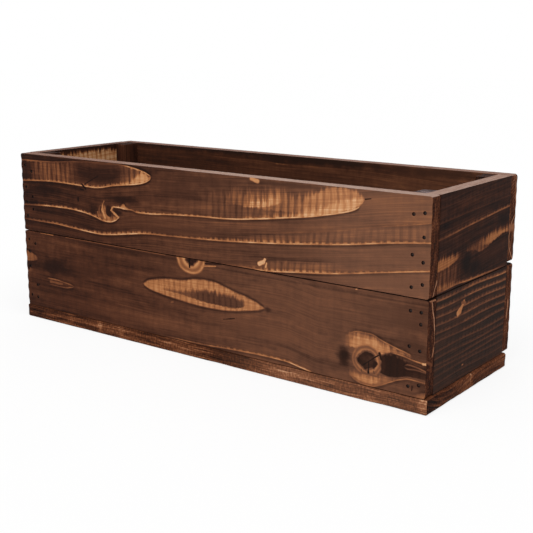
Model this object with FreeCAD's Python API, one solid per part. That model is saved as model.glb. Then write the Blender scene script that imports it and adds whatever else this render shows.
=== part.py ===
import FreeCAD, Part
import os

# Window box planter: a long open box nailed up from softwood boards.
# Sizes are in millimetres. X runs along the box, -Y is the front and +Z is up.
# The origin is on the ground, under the middle of the box.

# Box, over its walls
BOX_LENGTH = 450.0
BOX_DEPTH = 150.0
BOX_HEIGHT = 166.0
BOARD = 12.0
ARRIS = 1.0

# Base: two rough boards side by side, a little thicker than the walls
BASE_THICKNESS = 13.0
BASE_OVERHANG = 2.0
BASE_BACK_INSET = 7.0
BASE_JOINT_Y = 0.0
BASE_JOINT_GAP = 0.5
BASE_ARRIS = 1.5
DRAIN_DIAMETER = 8.0
DRAIN_X = 110.0
DRAIN_Y = 32.0

# Joint between the upper and lower board of each wall: height of its middle, and gap
FRONT_JOINT = (89.5, 0.5)
END_JOINT = (90.0, 0.5)
BACK_JOINT = (91.3, 1.8)

# Corner cleats: upright strips against the end walls, one in each corner
CLEAT_X = 12.0
CLEAT_Y = 20.0
CLEAT_DROP = 0.5

# Brads: thin headed nails, driven until the head is below the surface
SHANK_DIAMETER = 1.2
HEAD_DIAMETER = 2.0
HEAD_THICKNESS = 0.8
TIP_LENGTH = 1.5
HEAD_DEPTH = 1.0
WALL_BRAD = 25.0
CLEAT_BRAD = 20.0
BASE_BRAD = 30.0

# Heights of the brads at a right-hand and a left-hand corner, by board.
# "end" brads go into the end wall's end grain, and "cleat" brads into the cleat.
BRAD_HEIGHTS = {
    ("right", "upper"): {"end": (153.4, 135.6, 117.0, 100.5), "cleat": (151.8, 121.8, 97.4)},
    ("right", "lower"): {"end": (79.5, 70.3, 49.7, 23.0), "cleat": (79.5, 52.1, 20.7)},
    ("left", "upper"): {"end": (154.5, 133.0, 118.5, 104.5), "cleat": (149.0, 124.0, 111.5)},
    ("left", "lower"): {"end": (80.5, 68.0, 53.4, 23.5), "cleat": (77.0, 35.1, 22.5)},
}
BRAD_FROM_END = {"end": 6.0, "cleat": 15.0}
BACK_BRAD_SHIFT = -2.0
CLEAT_BRAD_HEIGHTS = (40.0, 60.0, 107.0, 141.0)
BASE_BRAD_X = (-190.0, -65.0, 65.0, 190.0)
BASE_BRAD_Y = {"front": (-45.0, -18.0), "rear": (18.0, 45.0)}
BASE_BRAD_FROM_EDGE = 3.0

# Planes that the dimensions above fix
HALF_LENGTH = BOX_LENGTH / 2
HALF_DEPTH = BOX_DEPTH / 2
INNER_X = HALF_LENGTH - BOARD
INNER_Y = HALF_DEPTH - BOARD
BASE_END_X = HALF_LENGTH + BASE_OVERHANG
BASE_BACK_Y = HALF_DEPTH - BASE_BACK_INSET
LEFT_OR_RIGHT = {"left": -1, "right": 1}
FRONT_OR_BACK = {"front": -1, "back": 1}

UP = FreeCAD.Vector(0, 0, 1)
ALONG_X = FreeCAD.Vector(1, 0, 0)
ALONG_Y = FreeCAD.Vector(0, 1, 0)


def sawn_block(x_range, y_range, z_range, arris):
    """A board between two planes on each axis, with its twelve arrises rounded."""
    low = FreeCAD.Vector(min(x_range), min(y_range), min(z_range))
    high = FreeCAD.Vector(max(x_range), max(y_range), max(z_range))
    size = high - low
    block = Part.makeBox(size.x, size.y, size.z, low)
    return block.makeFillet(arris, block.Edges)


def tier_heights(tier, joint):
    """Lowest and highest Z of the upper or the lower board of a wall."""
    middle, gap = joint
    if tier == "upper":
        return (middle + gap / 2, BOX_HEIGHT)
    return (BASE_THICKNESS, middle - gap / 2)


def long_board(side, tier):
    """A full-length board of the front or the back wall."""
    sign = FRONT_OR_BACK[side]
    joint = FRONT_JOINT if side == "front" else BACK_JOINT
    x_range = (-HALF_LENGTH, HALF_LENGTH)
    y_range = (sign * INNER_Y, sign * HALF_DEPTH)
    return sawn_block(x_range, y_range, tier_heights(tier, joint), ARRIS)


def end_board(hand, tier):
    """A short board of an end wall, held between the front and back walls."""
    sign = LEFT_OR_RIGHT[hand]
    x_range = (sign * INNER_X, sign * HALF_LENGTH)
    y_range = (-INNER_Y, INNER_Y)
    return sawn_block(x_range, y_range, tier_heights(tier, END_JOINT), ARRIS)


def cleat(side, hand):
    """An upright strip in a corner, flat against the end wall."""
    x_sign = LEFT_OR_RIGHT[hand]
    y_sign = FRONT_OR_BACK[side]
    x_range = (x_sign * (INNER_X - CLEAT_X), x_sign * INNER_X)
    y_range = (y_sign * (INNER_Y - CLEAT_Y), y_sign * INNER_Y)
    z_range = (BASE_THICKNESS, BOX_HEIGHT - CLEAT_DROP)
    return sawn_block(x_range, y_range, z_range, ARRIS)


def base_board(place):
    """The front or the rear base board, with two drainage holes through it."""
    if place == "front":
        y_range = (-HALF_DEPTH, BASE_JOINT_Y)
        drain_y = -DRAIN_Y
    else:
        y_range = (BASE_JOINT_Y + BASE_JOINT_GAP, BASE_BACK_Y)
        drain_y = DRAIN_Y
    board = sawn_block((-BASE_END_X, BASE_END_X), y_range, (0, BASE_THICKNESS), BASE_ARRIS)
    for drain_x in (-DRAIN_X, DRAIN_X):
        foot = FreeCAD.Vector(drain_x, drain_y, 0)
        board = board.cut(Part.makeCylinder(DRAIN_DIAMETER / 2, BASE_THICKNESS, foot, UP))
    return board


def brad(surface_point, direction, length):
    """A brad driven along direction, with its head sunk below surface_point."""
    head_top = surface_point + direction * HEAD_DEPTH
    shank_top = head_top + direction * HEAD_THICKNESS
    shank_length = length - HEAD_THICKNESS - TIP_LENGTH
    tip_top = shank_top + direction * shank_length
    head = Part.makeCylinder(HEAD_DIAMETER / 2, HEAD_THICKNESS, head_top, direction)
    shank = Part.makeCylinder(SHANK_DIAMETER / 2, shank_length, shank_top, direction)
    tip = Part.makeCone(SHANK_DIAMETER / 2, 0, TIP_LENGTH, tip_top, direction)
    return head.fuse([shank, tip]).removeSplitter().Solids[0]


def punched_recess(surface_point, direction):
    """The hole that the punch leaves above a sunk head."""
    return Part.makeCylinder(HEAD_DIAMETER / 2, HEAD_DEPTH, surface_point, direction)


def wall_brads(side, hand, tier):
    """Brads through one end of a long board, into the end wall and the cleat behind it."""
    y_sign = FRONT_OR_BACK[side]
    shift = BACK_BRAD_SHIFT if side == "back" else 0.0
    driven = []
    for target, heights in BRAD_HEIGHTS[hand, tier].items():
        x = LEFT_OR_RIGHT[hand] * (HALF_LENGTH - BRAD_FROM_END[target])
        for height in heights:
            point = FreeCAD.Vector(x, y_sign * HALF_DEPTH, height + shift)
            driven.append((point, ALONG_Y * -y_sign, WALL_BRAD))
    return driven


def cleat_brads(side, hand):
    """Brads from inside the box, through a cleat into the end boards."""
    x_sign = LEFT_OR_RIGHT[hand]
    x = x_sign * (INNER_X - CLEAT_X)
    y = FRONT_OR_BACK[side] * (INNER_Y - CLEAT_Y / 2)
    direction = ALONG_X * x_sign
    return [(FreeCAD.Vector(x, y, z), direction, CLEAT_BRAD) for z in CLEAT_BRAD_HEIGHTS]


def base_brads(place):
    """Brads from below, through a base board into the walls that stand on it."""
    edge_y = -HALF_DEPTH + BOARD / 2 if place == "front" else BASE_BACK_Y - BASE_BRAD_FROM_EDGE
    points = [FreeCAD.Vector(x, edge_y, 0) for x in BASE_BRAD_X]
    end_x = HALF_LENGTH - BOARD / 2
    for y in BASE_BRAD_Y[place]:
        points.append(FreeCAD.Vector(-end_x, y, 0))
        points.append(FreeCAD.Vector(end_x, y, 0))
    return [(point, UP, BASE_BRAD) for point in points]


def all_brads():
    """Every group of brads, by the name of its sub-part."""
    groups = {}
    for side in FRONT_OR_BACK:
        for hand in LEFT_OR_RIGHT:
            for tier in ("upper", "lower"):
                groups[f"{side}_{tier}_{hand}_brads"] = wall_brads(side, hand, tier)
            groups[f"{side}_{hand}_cleat_brads"] = cleat_brads(side, hand)
    for place in ("front", "rear"):
        groups[f"{place}_base_brads"] = base_brads(place)
    return groups


def all_boards():
    """Every piece of wood, before its brads are driven, by the name of its sub-part."""
    boards = {}
    for tier in ("upper", "lower"):
        for side in FRONT_OR_BACK:
            boards[f"{side}_{tier}_board"] = long_board(side, tier)
        for hand in LEFT_OR_RIGHT:
            boards[f"{hand}_end_{tier}_board"] = end_board(hand, tier)
    for side in FRONT_OR_BACK:
        for hand in LEFT_OR_RIGHT:
            boards[f"{side}_{hand}_cleat"] = cleat(side, hand)
    for place in ("front", "rear"):
        boards[f"{place}_base_board"] = base_board(place)
    return boards


def drive(board, bodies):
    """Cuts from a board the room of every brad and recess that reaches it."""
    near = [body for body in bodies if body.BoundBox.intersect(board.BoundBox)]
    if not near:
        return board
    return board.cut(Part.makeCompound(near)).Solids[0]


def main():
    os.makedirs("parts", exist_ok=True)
    groups = {}
    cutters = []
    for name, driven in all_brads().items():
        brads = [brad(*placing) for placing in driven]
        recesses = [punched_recess(point, direction) for point, direction, _ in driven]
        groups[name] = Part.makeCompound(brads)
        cutters.extend(brads + recesses)
    for name, board in all_boards().items():
        groups[name] = drive(board, cutters)
    for name in sorted(groups):
        groups[name].exportStep(f"parts/{name}.step")
        print(name, len(groups[name].Solids), "solid(s),", round(groups[name].Volume), "mm3")


main()
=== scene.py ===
# %% [markdown]
# # A scorched window box
# The real planter is nailed up from rough softwood: two boards high on every side, an upright cleat in
# each corner and two wider boards underneath. The wood was scorched with a flame, brushed and stained, so
# the soft part of each ring shows light against dark wood. The measured frame gives every piece its place
# and size. The brads stay as the frame has them, and each board gets a new skin that is sawn, brushed and
# worn, because that can't be seen on a measured block.

# %% The measured frame
from collections import namedtuple
from itertools import product
from math import ceil, pi, radians, tan

import bpy
import numpy as np
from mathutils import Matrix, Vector


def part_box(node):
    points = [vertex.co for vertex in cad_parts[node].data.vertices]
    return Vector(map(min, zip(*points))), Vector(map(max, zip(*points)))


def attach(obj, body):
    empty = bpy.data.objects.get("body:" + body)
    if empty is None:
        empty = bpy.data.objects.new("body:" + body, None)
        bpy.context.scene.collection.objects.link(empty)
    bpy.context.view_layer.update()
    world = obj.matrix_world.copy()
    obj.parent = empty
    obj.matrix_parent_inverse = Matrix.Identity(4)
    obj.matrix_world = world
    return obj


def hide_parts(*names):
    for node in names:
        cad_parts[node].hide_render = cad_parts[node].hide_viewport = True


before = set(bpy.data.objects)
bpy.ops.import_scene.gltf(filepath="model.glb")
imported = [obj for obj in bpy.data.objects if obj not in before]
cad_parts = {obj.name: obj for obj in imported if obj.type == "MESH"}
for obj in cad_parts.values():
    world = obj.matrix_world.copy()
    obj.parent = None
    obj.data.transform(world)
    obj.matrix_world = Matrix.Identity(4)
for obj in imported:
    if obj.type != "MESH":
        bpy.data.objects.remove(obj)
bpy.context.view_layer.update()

MM = 0.001
print("pieces in the frame:", len(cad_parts))


def node_box(node):
    """Lowest and highest corner of a measured piece, in millimetres."""
    low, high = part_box(node)
    return np.array(low) / MM, np.array(high) / MM


WALL_LOW = node_box("front_lower_board")[0]
WALL_HIGH = node_box("back_upper_board")[1]
LENGTH, DEPTH = (WALL_HIGH - WALL_LOW)[:2]
print("walls, mm:", LENGTH, "long,", DEPTH, "deep")

# %% [markdown]
# ## Camera
# The picture is taken from the front right, a little above the rim. The place, the turn and the lens were
# found by fitting the box's corners, so the camera is set in plain numbers and not aimed by eye.

# %% Camera
CAMERA_PLACE = (0.54138, -0.69032, 0.27498)
CAMERA_TURN = 0.6464
CAMERA_DIP = 0.2303
LENS = 65.68

camera_data = bpy.data.cameras.new("camera")
camera_data.lens = LENS
camera_data.sensor_width = 36
camera = bpy.data.objects.new("camera", camera_data)
camera.location = CAMERA_PLACE
camera.rotation_euler = (pi / 2 - CAMERA_DIP, 0, CAMERA_TURN)
bpy.context.scene.collection.objects.link(camera)
bpy.context.scene.camera = camera
bpy.context.scene.view_settings.view_transform = "Standard"
print("camera is", round(sum(c * c for c in CAMERA_PLACE) ** 0.5, 3), "m from the middle of the ground")

# %% [markdown]
# ## Shader sums
# A material is a net of small nodes, and a net that is wired by hand is hard to read. So one small class
# wraps a node's output, and its operators add Math nodes. One method makes every other kind of node.

# %% Sockets that take part in sums
class Socket:
    """A shader node's output, as a number in a sum."""

    def __init__(self, tree, outlet):
        self.tree = tree
        self.outlet = outlet

    def __add__(self, other):
        return self.tree.maths("ADD", self, other)

    def __sub__(self, other):
        return self.tree.maths("SUBTRACT", self, other)

    def __rsub__(self, other):
        return self.tree.maths("SUBTRACT", other, self)

    def __mul__(self, other):
        return self.tree.maths("MULTIPLY", self, other)

    def __truediv__(self, other):
        return self.tree.maths("DIVIDE", self, other)

    __radd__ = __add__
    __rmul__ = __mul__


def set_ramp(ramp, stops):
    """Gives a colour ramp its stops: pairs of a place from 0 to 1 and a colour."""
    for place, colour in stops[2:]:
        ramp.elements.new(place)
    for element, (place, colour) in zip(ramp.elements, sorted(stops)):
        element.position = place
        element.color = (*colour, 1)


def set_curves(mapping, curves):
    """Gives each channel of a curve mapping its points, with level ends."""
    mapping.extend = "HORIZONTAL"
    for curve, points in zip(mapping.curves, curves):
        curve.points[0].location = points[0]
        curve.points[1].location = points[-1]
        for x, y in points[1:-1]:
            curve.points.new(x, y)
        for point in curve.points:
            point.handle_type = "AUTO_CLAMPED"
    mapping.update()


class Tree:
    """The nodes of a new material, or of a new world."""

    def __init__(self, name, owners=bpy.data.materials):
        self.owner = owners.new(name)
        self.owner.use_nodes = True
        self.nodes = self.owner.node_tree.nodes
        self.links = self.owner.node_tree.links
        self.nodes.clear()

    def make(self, kind, settings=None, inputs=None, outlets=(0,)):
        """Adds a node: first its settings, then a value or a link for each of its sockets."""
        node = self.nodes.new(kind)
        for name, value in (settings or {}).items():
            if name == "stops":
                set_ramp(node.color_ramp, value)
            elif name == "curves":
                set_curves(node.mapping, value)
            else:
                setattr(node, name, value)
        for name, value in (inputs or {}).items():
            if isinstance(value, Socket):
                self.links.new(value.outlet, node.inputs[name])
            else:
                node.inputs[name].default_value = value
        found = [Socket(self, node.outputs[outlet]) for outlet in outlets]
        return found[0] if len(found) == 1 else found

    def maths(self, operation, *values, **settings):
        """A Math node on numbers and sockets, in the order of its inputs."""
        return self.make("ShaderNodeMath", {"operation": operation, **settings}, dict(enumerate(values)))

    def vectors(self, operation, *values, outlet=0):
        """Vector Math on colours and places. Outlet 1 is the number that a length or a dot product gives."""
        return self.make("ShaderNodeVectorMath", {"operation": operation}, dict(enumerate(values)), (outlet,))

    def fade(self, value, zero, one, most=1.0):
        """0 at and past zero, most at and past one, and a smooth step between them."""
        ends = {"Value": value, "From Min": zero, "From Max": one, "To Max": most}
        return self.make("ShaderNodeMapRange", {"interpolation_type": "SMOOTHSTEP"}, ends)

    def toward(self, value, goal, share):
        """Moves a number towards a goal."""
        return self.make("ShaderNodeMix", {"data_type": "FLOAT"}, {0: share, 2: value, 3: goal})

    def mix(self, factor, first, second, blend="MIX"):
        """Mixes two colours."""
        settings = {"data_type": "RGBA", "blend_type": blend}
        return self.make("ShaderNodeMix", settings, {0: factor, 6: first, 7: second}, (2,))

    def noise(self, x, y, z=0.0, detail=2.0):
        """Smooth noise from 0 to 1 with a grain of one unit."""
        place = self.make("ShaderNodeCombineXYZ", {}, {0: x, 1: y, 2: z})
        return self.make("ShaderNodeTexNoise", {}, {"Vector": place, "Scale": 1.0, "Detail": detail})

    def place(self):
        """The point's x, y and z on the object, in millimetres."""
        point = self.make("ShaderNodeTexCoord", {}, {}, ("Object",))
        inputs = {0: point, "Scale": 1 / MM}
        scaled = self.make("ShaderNodeVectorMath", {"operation": "SCALE"}, inputs)
        return self.make("ShaderNodeSeparateXYZ", {}, {0: scaled}, (0, 1, 2))


print("a socket takes part in sums with + - * and /")

# %% [markdown]
# ## Floor and light
# The picture is a catalogue shot on white. The world is white to the camera and a soft grey to everything
# else, and one wide sun stands for the softbox above the front. Together with what the pale floor sends
# back, the front gets about as much light as a colour needs to look as it is written.

# %% World, sun and floor
AMBIENT = 0.42
SUN_LEVEL = 0.80
SUN_FROM = (0.30, -0.48, 0.82)
SUN_WIDTH = 70
FLOOR_SIZE = 12.0
FLOOR_GREY = 0.92
FLOOR_WHITE = 0.8


def plainly_seen(tree):
    """1 for rays from the camera, also by way of metal or glass, and 0 for rays that only gather light."""
    rays = ("Is Camera Ray", "Is Glossy Ray", "Is Transmission Ray")
    direct, glossy, passed = tree.make("ShaderNodeLightPath", {}, {}, rays)
    return tree.maths("MAXIMUM", tree.maths("MAXIMUM", direct, glossy), passed)


sky = Tree("studio", bpy.data.worlds)
sky_level = plainly_seen(sky) * (1 - AMBIENT) + AMBIENT
sky_light = sky.make("ShaderNodeBackground", {}, {"Color": (1, 1, 1, 1), "Strength": sky_level})
sky.make("ShaderNodeOutputWorld", {}, {0: sky_light}, ())
bpy.context.scene.world = sky.owner

sun_data = bpy.data.lights.new("softbox", "SUN")
sun_data.energy = SUN_LEVEL * pi
sun_data.angle = radians(SUN_WIDTH)
sun = bpy.data.objects.new("softbox", sun_data)
sun.rotation_euler = Vector(SUN_FROM).to_track_quat("Z", "Y").to_euler()
bpy.context.scene.collection.objects.link(sun)

floor_tree = Tree("studio floor")
floor_lit = floor_tree.make("ShaderNodeBsdfDiffuse", {}, {"Color": (FLOOR_GREY,) * 3 + (1,)})
floor_white = floor_tree.make("ShaderNodeEmission", {}, {"Strength": 1.0})
floor_share = plainly_seen(floor_tree) * FLOOR_WHITE
floor_shader = floor_tree.make("ShaderNodeMixShader", {}, {0: floor_share, 1: floor_lit, 2: floor_white})
floor_tree.make("ShaderNodeOutputMaterial", {}, {0: floor_shader}, ())
half = FLOOR_SIZE / 2
floor_mesh = bpy.data.meshes.new("studio_floor")
corners = [(-half, -half, 0), (half, -half, 0), (half, half, 0), (-half, half, 0)]
floor_mesh.from_pydata(corners, [], [(0, 1, 2, 3)])
floor_mesh.materials.append(floor_tree.owner)
floor = bpy.data.objects.new("studio_floor", floor_mesh)
bpy.context.scene.collection.objects.link(floor)
print("one sun and a grey sky over a", FLOOR_SIZE, "m floor")

# %% [markdown]
# ## The skin of a board
# A board could be a cube with a bevel, but wear, chatter and brushed grain need points all over it. So the
# block is cut by three sets of parallel planes, and only the grid points on its outside are kept. All six
# sides share their border points, which closes the skin without any merging. Over each arris the planes
# stand at the tangents of even angles, so that the arris comes out as an even round.

# %% A block of grid points
ARRIS_ANGLES = (0, 15, 30, 45)
AXES = "xyz"
FLIPPED = ("-x", "+y", "-z")


def grid_lines(low, high, arris, step):
    """Places of the planes across one axis: arris - radius * tan(angle) from each end, even between."""
    tangents = np.array([tan(radians(angle)) for angle in ARRIS_ANGLES])
    count = max(1, round((high - low - 2 * arris) / step))
    middle = np.linspace(low + arris, high - arris, count + 1)
    return np.concatenate((low + arris * (1 - tangents[:0:-1]), middle, high - arris * (1 - tangents[1:])))


class Skin:
    """The outside of a board: points in millimetres, and quads that face outwards on its six sides."""

    def __init__(self, low, high, arris, step):
        self.low, self.high, self.arris, self.step = low, high, arris, step
        self.lines = [grid_lines(*ends, arris, step) for ends in zip(low, high)]
        shape = [len(places) for places in self.lines]
        outside = np.zeros(shape, bool)
        for axis in range(3):
            np.moveaxis(outside, axis, 0)[[0, -1]] = True
        number = np.full(shape, -1)
        number[outside] = np.arange(outside.sum())
        where = np.argwhere(outside)
        self.points = np.stack([self.lines[axis][where[:, axis]] for axis in range(3)], axis=1)
        self.sunk = np.zeros_like(self.points)
        self.sheets, self.cells, self.patches = {}, {}, {}
        self.pits = []
        for axis, side in product(range(3), (0, -1)):
            face = "-+"[side] + AXES[axis]
            sheet = np.moveaxis(number, axis, 0)[side]
            self.sheets[face] = sheet
            self.cells[face] = np.stack((sheet[:-1, :-1], sheet[1:, :-1], sheet[1:, 1:], sheet[:-1, 1:]), -1)
            self.patches[face] = []

    def add_ring(self, face, place, radius, depth, count):
        """Adds points at place + radius * (cos, sin), sunk below a face, and returns their numbers."""
        axis = AXES.index(face[1])
        across = [other for other in range(3) if other != axis]
        angles = 2 * pi * np.arange(count) / count - 3 * pi / 4
        ring = np.zeros((count, 3))
        ring[:, across] = np.array(place) + radius * np.stack((np.cos(angles), np.sin(angles)), 1)
        ring[:, axis] = self.low[axis] if face[0] == "-" else self.high[axis]
        sunk = np.zeros((count, 3))
        sunk[:, axis] = depth if face[0] == "-" else -depth
        numbers = len(self.points) + np.arange(count)
        self.points = np.concatenate((self.points, ring))
        self.sunk = np.concatenate((self.sunk, sunk))
        return numbers

    def punch(self, face, place, rings):
        """Opens a round hole at a place on a face, with one ring of points for each (radius, depth).

        A square of cells is taken out, and quads lead from its border to the first ring and on down.
        """
        across = [self.lines[axis] for axis in range(3) if AXES[axis] != face[1]]
        i, j = (np.abs(lines - at).argmin() for lines, at in zip(across, place))
        reach = ceil(rings[0][0] / self.step + 0.5)
        square = self.sheets[face][i - reach:i + reach + 1, j - reach:j + reach + 1]
        border = np.concatenate((square[:-1, 0], square[-1, :-1], square[:0:-1, -1], square[0, :0:-1]))
        self.cells[face][i - reach:i + reach, j - reach:j + reach] = -1
        for radius, depth in rings:
            ring = self.add_ring(face, place, radius, depth, len(border))
            self.patches[face].append(np.stack((border, np.roll(border, -1), np.roll(ring, -1), ring), 1))
            border = ring
        return border

    def punch_pit(self, face, place, rings):
        """Punches a blind hole, closes its bottom with a strip of quads and files its inside as a pit."""
        outer = len(self.patches[face]) + 1
        ring = self.punch(face, place, rings)
        half = len(ring) // 2
        there, back = ring[:half], ring[:half - 1:-1]
        bottom = np.stack((there[:-1], there[1:], back[1:], back[:-1]), 1)
        for quads in (*self.patches[face][outer:], bottom):
            self.pits.append(quads[:, ::-1] if face in FLIPPED else quads)
        del self.patches[face][outer:]

    def bore(self, place, rings):
        """Opens a hole from the underside to the top, with a wall that faces its axis."""
        low_ring = self.punch("-z", place, rings)
        high_ring = self.punch("+z", place, rings)
        wall = np.stack((low_ring, np.roll(low_ring, -1), np.roll(high_ring, -1), high_ring), 1)
        self.patches["-z"].append(wall)

    def quads(self):
        """Every quad, turned to face outwards, with the number of its face, or the next number in a pit."""
        found, on_face = [], []
        for number, face in enumerate(self.cells):
            cells = self.cells[face].reshape(-1, 4)
            quads = np.concatenate([cells[cells[:, 0] >= 0], *self.patches[face]])
            found.append(quads[:, ::-1] if face in FLIPPED else quads)
            on_face.append(np.full(len(quads), number))
        for quads in self.pits:
            found.append(quads)
            on_face.append(np.full(len(quads), len(self.cells)))
        return np.concatenate(found), np.concatenate(on_face)


COARSE_STEP = 4.0
coarse_cleat = Skin(*node_box("front_left_cleat"), 1.0, COARSE_STEP)
print("a cleat on a", COARSE_STEP, "mm grid has", len(coarse_cleat.quads()[0]), "quads")

# %% [markdown]
# ## Wear
# Each point may only move inwards, so a worn board never outgrows the measured one. Smooth noise gives the
# brushed grooves: random values sit on whole numbers and are blended between. Squeezing the noise across
# the grain and stretching it along turns its blobs into grooves.

# %% Smooth noise and the wear of a board
NOISE_TABLE = np.random.default_rng(7).uniform(-1, 1, 4096)
NOISE_KEYS = (73856093, 19349663, 83492791)
SEED_KEY = 26544357
CHATTER = 6.45
GROOVE_LENGTH, GROOVE_WIDTH, GROOVE_DEPTH = 60, 4.5, 0.10
CHATTER_DEPTH = 0.04
LOSS_REACH = 1.7
LOSS_LENGTH, LOSS_WIDTH = 24, 7
HOLLOW_WAVE, HOLLOW_WOBBLE, HOLLOW_REACH = 11, 23, 5


def lattice_noise(points, seed=0):
    """Smooth noise from -1 to 1: values at whole numbers, blended by 3t^2 - 2t^3 along each axis."""
    cell = np.floor(points).astype(np.int64)
    part = points - cell
    part = part * part * (3 - 2 * part)
    total = np.zeros(len(points))
    for corner in product((0, 1), repeat=3):
        keys = (cell + corner) * NOISE_KEYS
        index = keys[:, 0] ^ keys[:, 1] ^ keys[:, 2] ^ (seed * SEED_KEY)
        share = np.prod(np.where(corner, part, 1 - part), axis=1)
        total += share * NOISE_TABLE[index % len(NOISE_TABLE)]
    return total


def stretched(points, along, length, width):
    """Points squeezed to noise units that are long along one axis and narrow across it."""
    size = np.full(3, float(width))
    size[along] = length
    return points / size


def rounded(skin):
    """Rounds the arrises: a point is pulled in to the smaller core block, then set one radius out again.

    The way out is also the surface's normal there.
    """
    core = np.clip(skin.points, skin.low + skin.arris, skin.high - skin.arris)
    away = skin.points - core
    normals = away / np.linalg.norm(away, axis=1, keepdims=True)
    return core + skin.arris * normals, normals


def blunt_corners(points, low, high, radius, axes):
    """Rounds the corners of one view, as a square maps to a disc.

    x becomes x * sqrt(1 - y^2 / 2), and y becomes y * sqrt(1 - x^2 / 2).
    """
    core = np.clip(points, low + radius, high - radius)
    away = (points - core)[:, axes] / radius
    points[:, axes] = core[:, axes] + radius * away * np.sqrt(1 - away[:, ::-1] ** 2 / 2)


def wear_depth(points, low, high, along, wear, seed):
    """Depth to which a board has worn back, in mm.

    The sum of long shallow noise along the grain, the planer's cosine waves, and patchy losses that fall
    off with the distance d to the nearest arris as exp(-d / 1.7 mm).
    """
    grain = lattice_noise(stretched(points, along, GROOVE_LENGTH, GROOVE_WIDTH), seed)
    grooves = GROOVE_DEPTH * (1 + grain) / 2
    chatter = CHATTER_DEPTH * (1 + np.cos(2 * pi * points[:, along] / CHATTER)) / 2
    to_faces = np.minimum(points - low, high - points)
    to_arris = np.sort(to_faces, axis=1)[:, 1]
    patches = np.clip(lattice_noise(stretched(points, along, LOSS_LENGTH, LOSS_WIDTH), seed + 1), 0, 1)
    return grooves + chatter + wear * np.exp(-to_arris / LOSS_REACH) * (0.2 + 0.8 * patches)


def hollow_ends(points, low, high, along, depths, seed):
    """Wears hollows into the sawn ends: depth * (1 - cos(2 pi z / 11 mm)) / 2, fading along the board."""
    wobble = lattice_noise(points / HOLLOW_WOBBLE, seed)
    wave = (1 - np.cos(2 * pi * points[:, 2] / HOLLOW_WAVE + 2 * wobble)) / 2
    for end, depth, inwards in zip((low[along], high[along]), depths, (1, -1)):
        points[:, along] += inwards * depth * wave * np.exp(-np.abs(points[:, along] - end) / HOLLOW_REACH)


print("random values for the noise:", len(NOISE_TABLE), "and a planer's wave every", CHATTER, "mm")

# %% [markdown]
# ## The figure of the wood
# What the flame and the brush left is a drawing in light and dark: bright lines where a ring begins, with
# tongues of light above them. Noise alone gives wood of some kind, but not this wood. So the marks of the
# faces that the picture shows are drawn, in millimetres along the board from its left end and above the
# ground, and in tones from 0, which is char, to 1, which is bare brushed wood.
#
# - A line is a bright ring. Its points hold place, height, how far its light reaches, and strength.
# - A band is a pale patch. Its points hold place, lowest height, highest height and strength. Then come the
#   share of its light that the planer's bars take away, and how ragged it is.
# - A cloud is a soft oval, and a stroke a short mark such as a crack or a chip.
# - A knot is an oval collar of fine rings round a dark core.
#
# The same lists drive the relief of the mesh and the colours of the material.

# %% What a drawing holds
UP, DOWN = 1, -1
Line = namedtuple("Line", "side points")
Band = namedtuple("Band", "tone points bars ragged", defaults=(0.4, 1.0))
Stroke = namedtuple("Stroke", "start end width tone")
Cloud = namedtuple("Cloud", "at size tone strength")
Knot = namedtuple("Knot", "at size core rings tone collar")
Figure = namedtuple("Figure", "ground haze lines bands clouds knots strokes follow streaks",
                    defaults=((), (), (), (), (), (), 0, 0.34))


def chain(start, *steps):
    """Strokes end to end: each step is the next point's two places, and the stroke's width and tone."""
    strokes = []
    for *end, width, tone in steps:
        strokes.append(Stroke(start, tuple(end), width, tone))
        start = tuple(end)
    return strokes


print("a drawing holds:", *Figure._fields)

# %% [markdown]
# ## The front's upper board
# Its rings run the whole length. Two flames of pale wood end in round tips, above two long ring lines, and
# between them a ring folds back on itself like a hook.

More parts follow.
